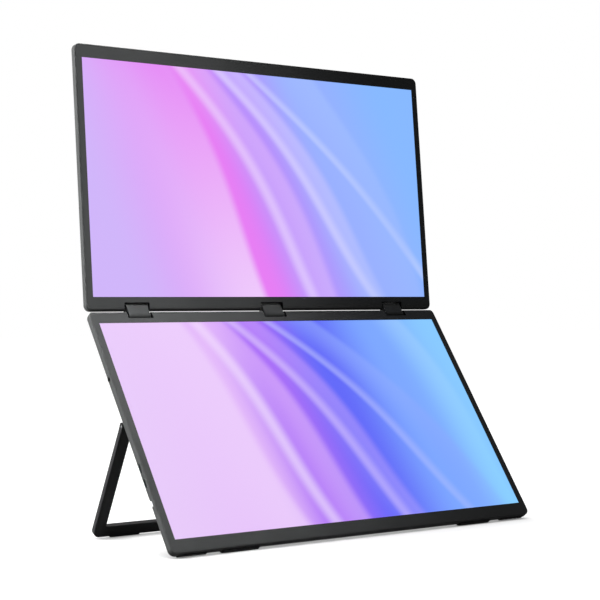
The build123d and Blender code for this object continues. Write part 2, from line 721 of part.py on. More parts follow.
# Audio jack: a round nose in the wall, a square body behind it and one bore through both
JACK_MOUTH = SIDE_X - PORT_SET
JACK_BACK = JACK_MOUTH - JACK_L
with BuildPart() as audio_jack:
    with BuildSketch(across(LOWER, JACK_BACK)):
        with Locations((JACK_HINGE, PORT_Z)):
            Rectangle(JACK_W, 2 * JACK_OUT_R)
    extrude(amount=CAVITY_X - PORT_GAP - JACK_BACK)
    with BuildSketch(across(LOWER, JACK_BACK)):
        with Locations((JACK_HINGE, PORT_Z)):
            Circle(JACK_OUT_R)
    extrude(amount=JACK_L)
    with BuildSketch(across(LOWER, JACK_BACK + JACK_END)):
        with Locations((JACK_HINGE, PORT_Z)):
            Circle(JACK_R)
    extrude(amount=JACK_L - JACK_END, mode=Mode.SUBTRACT)
audio_jack.part.label = "audio_jack"
export_step(audio_jack.part, "parts/audio_jack.step")

# Menu button with a retaining flange inside the wall, and the switch that it presses
FLANGE_X = SIDE_X - BUTTON_WALL - PORT_GAP - BUTTON_FLANGE
with BuildPart() as menu_button:
    with BuildSketch(across(LOWER, FLANGE_X)):
        with Locations((BUTTON_Y, PORT_Z)):
            SlotOverall(BUTTON_W + BUTTON_FLANGE, BUTTON_H + BUTTON_FLANGE)
    extrude(amount=BUTTON_FLANGE)
    with BuildSketch(across(LOWER, FLANGE_X)):
        with Locations((BUTTON_Y, PORT_Z)):
            SlotOverall(BUTTON_W, BUTTON_H)
    extrude(amount=SIDE_X + BUTTON_PROUD - FLANGE_X)
    fillet(menu_button.faces().sort_by(Axis.X)[0].edges(), BUTTON_PROUD / 2)
menu_button.part.label = "menu_button"
export_step(menu_button.part, "parts/menu_button.step")

SWITCH_X = FLANGE_X - BUTTON_TRAVEL - PORT_GAP
with BuildPart() as button_switch:
    with BuildSketch(LOWER.offset(BOARD_Z + BOARD_T)):
        with Locations((MAIN_BOARD_X - SWITCH_L / 2, BUTTON_Y)):
            Rectangle(SWITCH_L, SWITCH_W)
    extrude(amount=SWITCH_H)
    with BuildSketch(across(LOWER, MAIN_BOARD_X)):
        with Locations((BUTTON_Y, BOARD_Z + BOARD_T + SWITCH_H / 2)):
            Rectangle(SWITCH_W / 2, SWITCH_H / 2)
    extrude(amount=SWITCH_X - MAIN_BOARD_X)
button_switch.part.label = "button_switch"
export_step(button_switch.part, "parts/button_switch.step")

# Bay cover: a shallow pan on the back, with mount bosses, speaker grilles and vents
INSERT_R = INSERT_BORE_R + INSERT_WALL
SPEAKER_X = BAY_HALF - SPEAKER_IN
with BuildPart() as bay_cover:
    with BuildSketch(LOWER.offset(BACK_Z)):
        with Locations((0, BAY_MID)):
            RectangleRounded(2 * BAY_HALF, BAY_L, BAY_CORNER_R)
    extrude(amount=-BAY_H)
    chamfer(bay_cover.faces().sort_by(Axis(LOWER.origin, LOWER.z_dir))[0].edges(), BAY_BEVEL)
    with BuildSketch(LOWER.offset(BACK_Z)):
        with Locations((0, BAY_MID)):
            RectangleRounded(
                2 * (BAY_HALF - BAY_WALL), BAY_L - 2 * BAY_WALL, BAY_CORNER_R - BAY_WALL
            )
    extrude(amount=BAY_WALL - BAY_H, mode=Mode.SUBTRACT)
    with BuildSketch(LOWER.offset(BAY_OUT_Z)):
        with Locations((0, BAY_MID)):
            with GridLocations(VESA_PITCH, VESA_PITCH, 2, 2):
                Circle(INSERT_R + INSERT_BOSS_WALL)
    extrude(amount=INSERT_L)
    with BuildSketch(LOWER.offset(BAY_OUT_Z)):
        with Locations((0, BAY_MID)):
            with GridLocations(VESA_PITCH, VESA_PITCH, 2, 2):
                Circle(INSERT_R + PRESS_GAP)
        for side in (-1, 1):
            with Locations((side * SPEAKER_X, BAY_MID)):
                with GridLocations(GRILLE_PITCH, 1, GRILLE_SLOTS, 1):
                    SlotOverall(GRILLE_SLOT_L, GRILLE_SLOT_W, rotation=90)
            with Locations((side * (BAY_HALF - VENT_IN), BAY_MID)):
                with GridLocations(GRILLE_PITCH, 1, VENT_SLOTS, 1):
                    SlotOverall(VENT_SLOT_L, GRILLE_SLOT_W, rotation=90)
        with Locations(*BAY_SCREWS):
            Circle(BAY_SCREW_R + 2 * SCREW_ROOM)
    extrude(amount=INSERT_L, mode=Mode.SUBTRACT)
    with BuildSketch(LOWER.offset(BAY_OUT_Z)):
        with Locations(*BAY_SCREWS):
            Circle(BAY_SCREW_HEAD_R + 2 * SCREW_ROOM)
    extrude(amount=BAY_SCREW_HEAD_H, mode=Mode.SUBTRACT)
bay_cover.part.label = "bay_cover"
export_step(bay_cover.part, "parts/bay_cover.step")

BAY_BACK = LOWER.offset(BAY_OUT_Z + BAY_SCREW_HEAD_H)
with BuildPart() as bay_cover_screws:
    with BuildSketch(BAY_BACK):
        with Locations(*BAY_SCREWS):
            Circle(BAY_SCREW_HEAD_R)
    extrude(amount=-BAY_SCREW_HEAD_H)
    with BuildSketch(BAY_BACK):
        with Locations(*BAY_SCREWS):
            Circle(BAY_SCREW_R)
    extrude(amount=BAY_WALL - BAY_SCREW_HEAD_H + POST_H - SCREW_ROOM)
bay_cover_screws.part.label = "bay_cover_screws"
export_step(bay_cover_screws.part, "parts/bay_cover_screws.step")

# Threaded inserts for a monitor arm, on the standard square pattern
with BuildPart() as mount_inserts:
    with BuildSketch(LOWER.offset(BAY_OUT_Z)):
        with Locations((0, BAY_MID)):
            with GridLocations(VESA_PITCH, VESA_PITCH, 2, 2):
                Circle(INSERT_R)
                Circle(INSERT_BORE_R, mode=Mode.SUBTRACT)
    extrude(amount=INSERT_L)
mount_inserts.part.label = "mount_inserts"
export_step(mount_inserts.part, "parts/mount_inserts.step")

# Speakers on the bay's floor, their cones behind the grilles
for name, side in (("left", 1), ("right", -1)):
    with BuildPart() as speaker:
        with BuildSketch(LOWER.offset(BAY_FLOOR_Z)):
            with Locations((side * SPEAKER_X, BAY_MID)):
                Rectangle(SPEAKER_W, SPEAKER_L)
        extrude(amount=SPEAKER_H)
        with BuildSketch(LOWER.offset(BAY_FLOOR_Z)):
            with Locations((side * SPEAKER_X, BAY_MID)):
                SlotOverall(SPEAKER_W - 2 * CONE_INSET, SPEAKER_L - 2 * CONE_INSET)
        extrude(amount=SPEAKER_CONE, mode=Mode.SUBTRACT)
    speaker.part.label = f"{name}_speaker"
    export_step(speaker.part, f"parts/{name}_speaker.step")

# Stand brackets: a plate under two screws with a barrel along its edge
with BuildPart() as stand_brackets:
    for side in (-1, 1):
        x = min(side * BRACKET_X, side * (BRACKET_X - BRACKET_W))
        with BuildSketch(across(LOWER, x)):
            with Locations((PIVOT_Y - BRACKET_L / 2, BACK_Z - BRACKET_T / 2)):
                Rectangle(BRACKET_L, BRACKET_T)
            with Locations((PIVOT_Y - BARREL_R / 2, BACK_Z - BARREL_R / 2)):
                Rectangle(BARREL_R, BARREL_R)
            with Locations((PIVOT_Y, PIVOT_Z)):
                Circle(BARREL_R)
                Circle(PIN_R + PRESS_GAP, mode=Mode.SUBTRACT)
        extrude(amount=BRACKET_W)
    with BuildSketch(LOWER.offset(BACK_Z)):
        with Locations(*STAND_SCREWS):
            Circle(STAND_SCREW_R + SCREW_ROOM)
    extrude(amount=-BRACKET_T, mode=Mode.SUBTRACT)
stand_brackets.part.label = "stand_brackets"
export_step(stand_brackets.part, "parts/stand_brackets.step")

BRACKET_BACK = LOWER.offset(BACK_Z - BRACKET_T)
with BuildPart() as stand_bracket_screws:
    with BuildSketch(BRACKET_BACK):
        with Locations(*STAND_SCREWS):
            Circle(STAND_SCREW_HEAD_R)
    extrude(amount=-STAND_SCREW_HEAD_H)
    with BuildSketch(BRACKET_BACK):
        with Locations(*STAND_SCREWS):
            Circle(STAND_SCREW_R)
    extrude(amount=BRACKET_T + REAR_WALL + STAND_BOSS_H - SCREW_ROOM)
stand_bracket_screws.part.label = "stand_bracket_screws"
export_step(stand_bracket_screws.part, "parts/stand_bracket_screws.step")

# Stand pins, and the friction washers between bracket and leg
PIN_X = STAND_HALF - PIN_SET
with BuildPart() as stand_pins:
    for side in (-1, 1):
        with BuildSketch(across(LOWER, min(side * PIN_X, side * (BRACKET_X - BRACKET_W)))):
            with Locations((PIVOT_Y, PIVOT_Z)):
                Circle(PIN_R)
        extrude(amount=PIN_X - BRACKET_X + BRACKET_W)
stand_pins.part.label = "stand_pins"
export_step(stand_pins.part, "parts/stand_pins.step")

with BuildPart() as stand_washers:
    for side in (-1, 1):
        x = side * (BRACKET_X + WASHER_GAP + WASHER_T / 2) - WASHER_T / 2
        with BuildSketch(across(LOWER, x)):
            with Locations((PIVOT_Y, PIVOT_Z)):
                Circle(BARREL_R)
                Circle(PIN_R + PRESS_GAP, mode=Mode.SUBTRACT)
        extrude(amount=WASHER_T)
stand_washers.part.label = "stand_washers"
export_step(stand_washers.part, "parts/stand_washers.step")

# Stand frame: flat bar bent into a U, with a barrel and a square heel at the top of each leg
with BuildPart() as stand_frame:
    with BuildSketch(STAND.offset(-BAR_T / 2)) as u_shape:
        with Locations((0, STAND_REACH / 2)):
            Rectangle(2 * STAND_HALF, STAND_REACH)
        fillet(u_shape.vertices().group_by(Axis.Y)[-1], STAND_CORNER_R)
        with BuildSketch(mode=Mode.SUBTRACT) as window:
            with Locations((0, (STAND_REACH - BAR_W) / 2)):
                Rectangle(2 * (STAND_HALF - BAR_W), STAND_REACH - BAR_W)
            fillet(window.vertices().group_by(Axis.Y)[-1], STAND_INNER_R)
    extrude(amount=BAR_T)
    flats = stand_frame.faces().filter_by(Axis(STAND.origin, STAND.z_dir))
    chamfer(flats.edges(), BAR_BEVEL)
    for side in (-1, 1):
        x = min(side * STAND_HALF, side * (STAND_HALF - BAR_W))
        with BuildSketch(across(STAND, x)):
            Circle(BARREL_R)
            with Locations((-BARREL_R / 2, -BARREL_R / 2)):
                Rectangle(BARREL_R, BARREL_R)
        extrude(amount=BAR_W)
        with BuildSketch(across(STAND, x)):
            Circle(PIN_R + RUN_GAP)
        extrude(amount=BAR_W, mode=Mode.SUBTRACT)
stand_frame.part.label = "stand_frame"
export_step(stand_frame.part, "parts/stand_frame.step")

# Rubber pads under the stand's crossbar, worn flat by the table
with BuildPart() as stand_pads:
    for side in (-1, 1):
        with BuildSketch(across(STAND, side * (STAND_HALF - PAD_SIDE) - PAD_L / 2)):
            with Locations((STAND_REACH, 0)):
                Circle(PAD_R)
            with Locations((STAND_REACH - PAD_R, 0)):
                Rectangle(2 * PAD_R, 2 * PAD_R, mode=Mode.SUBTRACT)
        extrude(amount=PAD_L)
    chamfer(stand_pads.edges().filter_by(GeomType.CIRCLE), PAD_R / 2)
    split(bisect_by=Plane.XY, keep=Keep.TOP)
stand_pads.part.label = "stand_pads"
export_step(stand_pads.part, "parts/stand_pads.step")


def edge_rubber(x, length, proud):
    """Rubber strip that hugs the rounded bottom edge at the back of the lower screen."""
    corner_y = CASE_H - EDGE_ROUND
    corner_z = BACK_Z + EDGE_ROUND
    with BuildPart() as strip:
        with BuildSketch(across(LOWER, x - length / 2)):
            with Locations((corner_y, corner_z)):
                Circle(EDGE_ROUND + proud)
            with Locations((corner_y + (EDGE_ROUND + proud) / 2, corner_z + FOOT_FACE / 2)):
                Rectangle(EDGE_ROUND + proud, FOOT_FACE)
            with Locations((corner_y, corner_z)):
                Circle(EDGE_ROUND, mode=Mode.SUBTRACT)
            with Locations((corner_y - CASE_H / 2, corner_z)):
                Rectangle(CASE_H, CASE_H, mode=Mode.SUBTRACT)
            with Locations((CASE_H - EDGE_ROUND, corner_z + CASE_T / 2)):
                Rectangle(2 * EDGE_ROUND, CASE_T, mode=Mode.SUBTRACT)
            with Locations((CASE_H, corner_z + FOOT_FACE + CASE_T / 2)):
                Rectangle(CASE_T, CASE_T, mode=Mode.SUBTRACT)
        extrude(amount=length)
        arcs = strip.edges().filter_by(GeomType.CIRCLE)
        chamfer(arcs.filter_by(lambda arc: arc.radius > EDGE_ROUND), proud / 2)
    return strip.part


# Front feet carry the lower screen, and thinner pads guard its two bottom corners
with BuildPart() as front_feet:
    for side in (-1, 1):
        add(edge_rubber(side * (CASE_W / 2 - FOOT_SIDE), FOOT_L, FOOT_PROUD))
    split(bisect_by=Plane.XY, keep=Keep.TOP)
front_feet.part.label = "front_feet"
export_step(front_feet.part, "parts/front_feet.step")

with BuildPart() as corner_pads:
    for side in (-1, 1):
        add(edge_rubber(side * (CASE_W / 2 - CORNER_PAD_SIDE), CORNER_PAD_L, CORNER_PAD_PROUD))
corner_pads.part.label = "corner_pads"
export_step(corner_pads.part, "parts/corner_pads.step")
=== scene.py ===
import json
import math

import bmesh
import bpy
from mathutils import Matrix, Vector


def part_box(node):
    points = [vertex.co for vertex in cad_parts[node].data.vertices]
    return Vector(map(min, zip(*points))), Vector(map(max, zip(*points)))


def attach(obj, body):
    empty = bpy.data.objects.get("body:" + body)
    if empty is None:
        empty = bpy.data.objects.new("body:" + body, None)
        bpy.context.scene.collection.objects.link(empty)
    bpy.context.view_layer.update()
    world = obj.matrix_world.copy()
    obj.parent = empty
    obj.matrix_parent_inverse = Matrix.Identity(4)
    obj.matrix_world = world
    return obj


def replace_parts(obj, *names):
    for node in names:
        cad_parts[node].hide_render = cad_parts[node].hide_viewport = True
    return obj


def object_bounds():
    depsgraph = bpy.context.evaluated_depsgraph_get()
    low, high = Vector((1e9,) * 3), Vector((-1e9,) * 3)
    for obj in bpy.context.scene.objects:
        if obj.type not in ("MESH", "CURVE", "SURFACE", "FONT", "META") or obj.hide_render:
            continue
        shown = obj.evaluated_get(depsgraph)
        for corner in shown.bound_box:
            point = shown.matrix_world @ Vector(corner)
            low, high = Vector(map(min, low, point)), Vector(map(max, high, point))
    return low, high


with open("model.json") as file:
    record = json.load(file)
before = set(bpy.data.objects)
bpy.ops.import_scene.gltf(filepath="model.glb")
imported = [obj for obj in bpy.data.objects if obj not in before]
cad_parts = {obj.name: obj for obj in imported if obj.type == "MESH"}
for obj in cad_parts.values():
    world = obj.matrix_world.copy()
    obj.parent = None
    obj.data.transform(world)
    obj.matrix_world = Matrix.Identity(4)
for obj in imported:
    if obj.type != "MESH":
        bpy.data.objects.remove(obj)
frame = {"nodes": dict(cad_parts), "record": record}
cad_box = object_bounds()
nodes = frame["nodes"]


# Rear covers: two shallow trays die-cast in magnesium alloy, which carry everything else in each
# screen. They are sprayed a matte dark grey, which dries with a fine, even grit.
mm_per_metre = 1000


def linear(code):
    """Linear colour of an sRGB hex code."""
    parts = [int(code[i:i + 2], 16) / 255 for i in (1, 3, 5)]
    return [c / 12.92 if c <= 0.04045 else ((c + 0.055) / 1.055) ** 2.4 for c in parts] + [1.0]


def node(tree, kind, inputs, **settings):
    """Adds a shader node. Each input is a value or the socket that feeds it."""
    made = tree.nodes.new(kind)
    for key, value in settings.items():
        setattr(made, key, value)
    for key, value in inputs.items():
        if isinstance(value, bpy.types.NodeSocket):
            tree.links.new(value, made.inputs[key])
        else:
            made.inputs[key].default_value = value
    return made


def finish(name, shades, drift_mm, grain_mm, relief_mm, roughness, stretch=(1, 1, 1), **fixed):
    """A surface whose shade drifts slowly, with a finer grain in its relief and its gloss.

    The grain is drawn out along an axis where its stretch is below 1.
    """
    drift_range, grain_range = (0.35, 0.65), (0.3, 0.7)
    material = bpy.data.materials.new(name)
    material.use_nodes = True
    tree = material.node_tree
    shader = tree.nodes["Principled BSDF"]
    place = node(tree, "ShaderNodeTexCoord", {}).outputs["Object"]
    drift = node(
        tree, "ShaderNodeTexNoise",
        {"Vector": place, "Scale": mm_per_metre / drift_mm, "Detail": 4.0},
    )
    shade = node(tree, "ShaderNodeValToRGB", {"Fac": drift.outputs["Fac"]})
    for element, position, code in zip(shade.color_ramp.elements, drift_range, shades):
        element.position = position
        element.color = linear(code)
    drawn = node(tree, "ShaderNodeVectorMath", {0: place, 1: stretch}, operation="MULTIPLY")
    grain = node(
        tree, "ShaderNodeTexNoise",
        {"Vector": drawn.outputs[0], "Scale": mm_per_metre / grain_mm, "Detail": 2.0},
    ).outputs["Fac"]
    gloss = node(
        tree, "ShaderNodeMapRange",
        {
            "Value": grain, "From Min": grain_range[0], "From Max": grain_range[1],
            "To Min": roughness[0], "To Max": roughness[1],
        },
    )
    bump = node(tree, "ShaderNodeBump", {"Height": grain, "Distance": relief_mm / mm_per_metre})
    tree.links.new(shade.outputs["Color"], shader.inputs["Base Color"])
    tree.links.new(gloss.outputs["Result"], shader.inputs["Roughness"])
    tree.links.new(bump.outputs["Normal"], shader.inputs["Normal"])
    for key, value in fixed.items():
        shader.inputs[key.replace("_", " ")].default_value = value
    return material


def dress(material, *names):
    """Gives CAD pieces their finish."""
    for name in names:
        mesh = nodes[name].data
        mesh.materials.clear()
        mesh.materials.append(material)


# The grit is about 0.1 mm in life, and is drawn at 0.9 mm so that it shows.
painted_magnesium = finish(
    "matte_painted_magnesium", ("#383939", "#3c3d3d"), drift_mm=40, grain_mm=0.9,
    relief_mm=0.02, roughness=(0.6, 0.75), Specular_IOR_Level=0.05,
)
dress(painted_magnesium, "lower_rear_cover", "upper_rear_cover")


# Hinge brackets, shafts and friction sleeves: leaves stamped from steel and black-oxided, with
# shafts turned from steel rod riveted into their ears and slit bronze sleeves that grip the shafts.
# The oxide is a thin film, through which the steel keeps some of its sheen.
black_oxide = finish(
    "black_oxide_steel", ("#1b1b1c", "#232324"), drift_mm=9, grain_mm=0.6,
    relief_mm=0.01, roughness=(0.4, 0.55), Metallic=0.6,
)
dress(black_oxide, "lower_hinge_brackets", "upper_hinge_brackets")

# Turning marks run round the rod, so the grain is drawn out across its length.
turned_steel = finish(
    "turned_steel", ("#8d8f92", "#a4a6a9"), drift_mm=6, grain_mm=0.3,
    relief_mm=0.008, roughness=(0.2, 0.34), stretch=(1, 0.04, 0.04), Metallic=1.0,
)
dress(turned_steel, "lower_hinge_shafts", "upper_hinge_shafts")

# The sleeves are rolled from strip: warm in colour, with faint marks round the bore.
bronze = finish(
    "phosphor_bronze", ("#a8814f", "#bb9460"), drift_mm=5, grain_mm=0.4,
    relief_mm=0.008, roughness=(0.28, 0.42), stretch=(1, 0.1, 0.1), Metallic=1.0,
)
dress(bronze, "friction_sleeves")


# Small screws: cold-headed steel, blackened, with a cross recess punched into each head. They
# hold the hinge brackets to their bosses and the boards to theirs.
def screen_front(screen):
    """Direction out of a screen's front, taken from its flat glass."""
    faces = nodes[f"{screen}_lcd_cell"].data.polygons
    out = max(faces, key=lambda face: face.area).normal.copy()
    return out if out.y < 0 else -out


def solids(name):
    """Places of the vertices of each separate solid in a CAD node."""
    shape = bmesh.new()
    shape.from_mesh(nodes[name].data)
    bmesh.ops.remove_doubles(shape, verts=shape.verts, dist=1e-6)
    met = set()
    groups = []
    for first in shape.verts:
        if first in met:
            continue
        met.add(first)
        group = [first]
        for vert in group:
            for edge in vert.link_edges:
                other = edge.other_vert(vert)
                if other not in met:
                    met.add(other)
                    group.append(other)
        groups.append([vert.co.copy() for vert in group])
    shape.free()
    return groups


def add_piece(name, shape, material, body, crease_degrees=35):
    """Makes an object of a finished mesh and lets it ride on a body."""
    bmesh.ops.recalc_face_normals(shape, faces=shape.faces)
    mesh = bpy.data.meshes.new(name)
    shape.to_mesh(mesh)
    shape.free()
    mesh.materials.append(material)
    mesh.shade_smooth()
    mesh.set_sharp_from_angle(angle=math.radians(crease_degrees))
    made = bpy.data.objects.new(name, mesh)
    bpy.context.scene.collection.objects.link(made)
    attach(made, body)
    return made


def loft(shape, rings):
    """Joins rings of points by strips of faces and returns each ring's vertices."""
    made = [[shape.verts.new(point) for point in ring] for ring in rings]
    count = len(made[0])
    for low, high in zip(made, made[1:]):
        for i in range(count):
            j = (i + 1) % count
            shape.faces.new((low[i], low[j], high[j], high[i]))
    return made


def circle(radius, height, sides=28):
    """Points round a level circle."""
    turns = [math.tau * i / sides for i in range(sides)]
    return [Vector((radius * math.cos(turn), radius * math.sin(turn), height)) for turn in turns]


def cross(reach, half, height):
    """Outline of a level cross with four square arms."""
    arm = [Vector((x, y, height)) for x, y in ((reach, -half), (reach, half), (half, half))]
    quarters = [Matrix.Rotation(math.tau * quarter / 4, 3, "Z") for quarter in range(4)]
    return [quarter @ point for quarter in quarters for point in arm]


def cross_head_screws(name, out, material, body):
    """Stands for a CAD node of plain screws, at their own places and sizes, with driven heads.

    The bevel and the recess are shares of the head's radius, and the depth is one of its height.
    """
    bevel_share, recess_depth = 0.12, 0.7
    mouth_reach, mouth_half = 0.62, 0.17
    floor_reach, floor_half = 0.4, 0.12
    turn = out.to_track_quat("Z", "Y").to_matrix()
    shape = bmesh.new()
    for points in solids(name):
        level = [turn.transposed() @ point for point in points]
        tip, seat = sorted({round(point.z, 6) for point in level})[:2]
        top = max(point.z for point in level)
        shank = [point for point in level if point.z < (tip + seat) / 2]
        middle = sum(shank, Vector()) / len(shank)
        shank_r = max((point - middle).xy.length for point in shank)
        head_r = max((point - middle).xy.length for point in level)
        bevel = bevel_share * head_r
        rings = [
            circle(shank_r - bevel, tip), circle(shank_r, tip + bevel),
            circle(shank_r, seat), circle(head_r, seat),
            circle(head_r, top - bevel), circle(head_r - bevel, top),
        ]
        recess = [
            cross(mouth_reach * head_r, mouth_half * head_r, top),
            cross(floor_reach * head_r, floor_half * head_r, top - recess_depth * (top - seat)),
        ]
        axis = Vector((middle.x, middle.y, 0))
        body_rings, recess_rings = [
            loft(shape, [[turn @ (point + axis) for point in ring] for ring in part])
            for part in (rings, recess)
        ]
        shape.faces.new(body_rings[0])
        shape.faces.new(recess_rings[-1])
        rim = []
        for ring in (body_rings[-1], recess_rings[0]):
            rim += [shape.edges.get((a, b)) for a, b in zip(ring, ring[1:] + ring[:1])]
        bmesh.ops.triangle_fill(shape, edges=rim, use_beauty=True)
    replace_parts(add_piece(f"cross_head_{name}", shape, material, body), name)


# Blackening leaves the heads dark, with a dull shine of metal.
blackened_steel = finish(
    "blackened_steel", ("#2c2c2e", "#3a3a3c"), drift_mm=3, grain_mm=0.25,
    relief_mm=0.005, roughness=(0.32, 0.48), Metallic=0.8,
)
lower_front = screen_front("lower")
upper_front = screen_front("upper")
for name in ("lower_bracket_screws", "main_board_screws"):
    cross_head_screws(name, lower_front, blackened_steel, "lower_screen")
for name in ("upper_bracket_screws", "timing_board_screws"):
    cross_head_screws(name, upper_front, blackened_steel, "upper_screen")


# Hinge blocks: three short links of die-cast zinc, painted to match the bezels. Each has a bore
# for either screen's shaft, and the paint lies a little thick and soft over their edges. Its fine
# grit is drawn at 0.7 mm so that it shows.
painted_zinc = finish(
    "painted_die_cast_zinc", ("#363737", "#3a3b3b"), drift_mm=14, grain_mm=0.7,
    relief_mm=0.02, roughness=(0.5, 0.62), Specular_IOR_Level=0.03,
)
hinge_blocks = ("hinge_block_left", "hinge_block_centre", "hinge_block_right")
dress(painted_zinc, *hinge_blocks)


# Hinge wells: each screen's edge is notched for the blocks, and strips of painted shade, nearly
# black, line the sides and the back of every notch, so that the slots beside the blocks look dark.
def block(shape, middle, axes, sizes, bevel):
    """A block with bevelled edges, along three given axes."""
    place = Matrix([axis * size for axis, size in zip(axes, sizes)]).transposed().to_4x4()
    place.translation = middle
    made = bmesh.ops.create_cube(shape, size=1.0, matrix=place)["verts"]
    edges = sorted(
        {edge for vert in made for edge in vert.link_edges},
        key=lambda edge: [round(x, 9) for x in edge.verts[0].co + edge.verts[1].co],
    )
    bmesh.ops.bevel(shape, geom=edges, offset=bevel, segments=2, profile=0.5, affect="EDGES")


# The strips' near-black is painted shade, where the notches lie in shadow.
painted_shade_lining = finish(
    "painted_shade_well_lining", ("#0b0b0c", "#101011"), drift_mm=6, grain_mm=0.6,
    relief_mm=0.01, roughness=(0.6, 0.75), Specular_IOR_Level=0.05,
)
joints = {joint["name"]: joint for joint in frame["record"]["behaviour"]["joints"]}
across = Vector((1, 0, 0))
# Measured from the hinge's axis: half the notch's width, its back and the lip before that, how
# high the lip is, how far in the side strips go, and the rounding of the screen's edge.
well_half, well_wall, lip_wall = 0.0116, 0.0045, 0.0036
lip_level, side_reach = -0.001, 0.00365
edge_r, edge_level, edge_steps = 0.00257, 0.00085, 8
wall_top = edge_level + edge_r
strip, side_strip, strip_bevel = 0.0002, 0.00012, 0.00005
turns = [math.pi / 2 * step / edge_steps for step in range(edge_steps + 1)]
side_outline = [(-edge_r * math.sin(turn), edge_level + edge_r * math.cos(turn)) for turn in turns]
side_outline += [(-edge_r, lip_level), (side_reach, lip_level), (side_reach, wall_top)]
for screen, front, away in (("lower", lower_front, -1), ("upper", upper_front, 1)):
    axis = Vector(joints[f"{screen}_hinge"]["pos_m"])
    inward = away * front.cross(across) * math.copysign(1, front.cross(across).z)
    axes = (across, inward, front)
    shade_strips = bmesh.new()
    notches = []
    for name in hinge_blocks:
        low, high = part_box(name)
        middle = axis + across * (low.x + high.x) / 2
        notches.append((middle, high.x - low.x))
        for side in (-1, 1):
            rings = [
                [middle + across * side * x + inward * y + front * z for y, z in side_outline]
                for x in (well_half - side_strip, well_half)
            ]
            for ring in loft(shade_strips, rings):
                shade_strips.faces.new(ring)
    # The bevelled strips come last: faces that are lofted after a bevel are in no fixed order.
    for middle, width in notches:
        wall = middle + inward * (well_wall - strip / 2) + front * (lip_level + wall_top) / 2
        block(shade_strips, wall, axes, (width, strip, wall_top - lip_level), strip_bevel)
        lip = middle + inward * (lip_wall + well_wall) / 2 + front * (lip_level + strip / 2)
        block(shade_strips, lip, axes, (width, well_wall - lip_wall, strip), strip_bevel)
    add_piece(f"{screen}_hinge_shade_strips", shade_strips, painted_shade_lining, f"{screen}_screen")


# Circuit boards: glass-epoxy laminate under green solder mask, with copper tracks that stand up
# faintly under it. One drives the upper panel, and one carries the sockets and the menu switch.
circuit_board = finish(
    "solder_masked_laminate", ("#17402a", "#1d4c33"), drift_mm=8, grain_mm=0.8,
    relief_mm=0.01, roughness=(0.3, 0.42), Specular_IOR_Level=0.5,
)
tree = circuit_board.node_tree
place = node(tree, "ShaderNodeTexCoord", {}).outputs["Object"]
track_pitch_mm = 1.6
tracks = node(
    tree, "ShaderNodeTexBrick",
    {
        "Vector": place, "Scale": mm_per_metre / track_pitch_mm,
        "Mortar Size": 0.09, "Brick Width": 3.0, "Row Height": 0.5,
        "Color1": linear("#17402a"), "Color2": linear("#1c4a31"), "Mortar": linear("#2f6b45"),
    },
)
tree.links.new(tracks.outputs["Color"], tree.nodes["Principled BSDF"].inputs["Base Color"])
dress(circuit_board, "timing_board", "main_board")


# Flat ribbons: tinned conductors between two films of polyester, which carry the picture from
# the main board through the middle hinge. Their pitch is 0.5 mm.
ribbon_film = finish(
    "polyester_ribbon", ("#d9d6cc", "#e2dfd6"), drift_mm=12, grain_mm=2.0,
    relief_mm=0.01, roughness=(0.3, 0.4), Specular_IOR_Level=0.5,
)
tree = ribbon_film.node_tree
place = node(tree, "ShaderNodeTexCoord", {}).outputs["Object"]
conductor_pitch_mm = 0.5
waves_per_unit = 20 / math.tau
conductors = node(
    tree, "ShaderNodeTexWave",
    {"Vector": place, "Scale": mm_per_metre / conductor_pitch_mm / waves_per_unit},
    bands_direction="X",
)
stripes = node(tree, "ShaderNodeValToRGB", {"Fac": conductors.outputs["Fac"]})
for element, code in zip(stripes.color_ramp.elements, ("#a9a69c", "#dedbd2")):
    element.color = linear(code)
tree.links.new(stripes.outputs["Color"], tree.nodes["Principled BSDF"].inputs["Base Color"])
dress(ribbon_film, "hinge_ribbon", "upper_ribbon", "lower_ribbon")


# Data sockets: two flat, round-ended shells drawn from stainless sheet, each round a moulded
# tongue with a row of gilded contacts on either face.
# Drawing leaves fine streaks along each shell.
drawn_stainless = finish(
    "drawn_stainless_steel", ("#8f9193", "#a3a5a7"), drift_mm=5, grain_mm=0.3,
    relief_mm=0.006, roughness=(0.25, 0.38), stretch=(0.1, 1, 1), Metallic=1.0,
)
dress(drawn_stainless, "usb_c_sockets")

# The tongue comes from the mould nearly black, with a soft gloss.
moulded_socket = finish(
    "moulded_socket_plastic", ("#161617", "#1d1d1e"), drift_mm=6, grain_mm=0.5,
    relief_mm=0.01, roughness=(0.4, 0.55), Specular_IOR_Level=0.4,
)

# Gold plating is thin and follows the smooth contacts, so it stays bright.
gilding = finish(
    "gilded_contacts", ("#c8a24a", "#d8b45e"), drift_mm=2, grain_mm=0.2,
    relief_mm=0.003, roughness=(0.2, 0.3), Metallic=1.0,
)
inward = Vector((1, 0, 0))
along_side = lower_front.cross(inward)
axes = (inward, along_side, lower_front)
tongues = bmesh.new()
contacts = bmesh.new()
shell_end = 0.0008
tongue_w, tongue_t, tongue_l, tongue_bevel = 0.0067, 0.0008, 0.0047, 0.00015
contact_w, contact_t, contact_l, contact_bevel = 0.00028, 0.00006, 0.0034, 0.00002
contact_pitch, contact_count, contact_setback = 0.0005, 12, 0.0004
for points in solids("usb_c_sockets"):
    back = max(point.x for point in points)
    sides = [point.dot(along_side) for point in points]
    depths = [point.dot(lower_front) for point in points]
    axle = along_side * (min(sides) + max(sides)) / 2
    axle += lower_front * (min(depths) + max(depths)) / 2
    root = axle + inward * (back - shell_end)
    block(tongues, root - inward * tongue_l / 2, axes, (tongue_l, tongue_w, tongue_t), tongue_bevel)
    for face in (-1, 1):
        for row in range(contact_count):
            step = along_side * contact_pitch * (row - (contact_count - 1) / 2)
            lift = lower_front * face * (tongue_t + contact_t) / 2
            middle = root - inward * (tongue_l - contact_l / 2 - contact_setback) + step + lift
            block(contacts, middle, axes, (contact_l, contact_w, contact_t), contact_bevel)
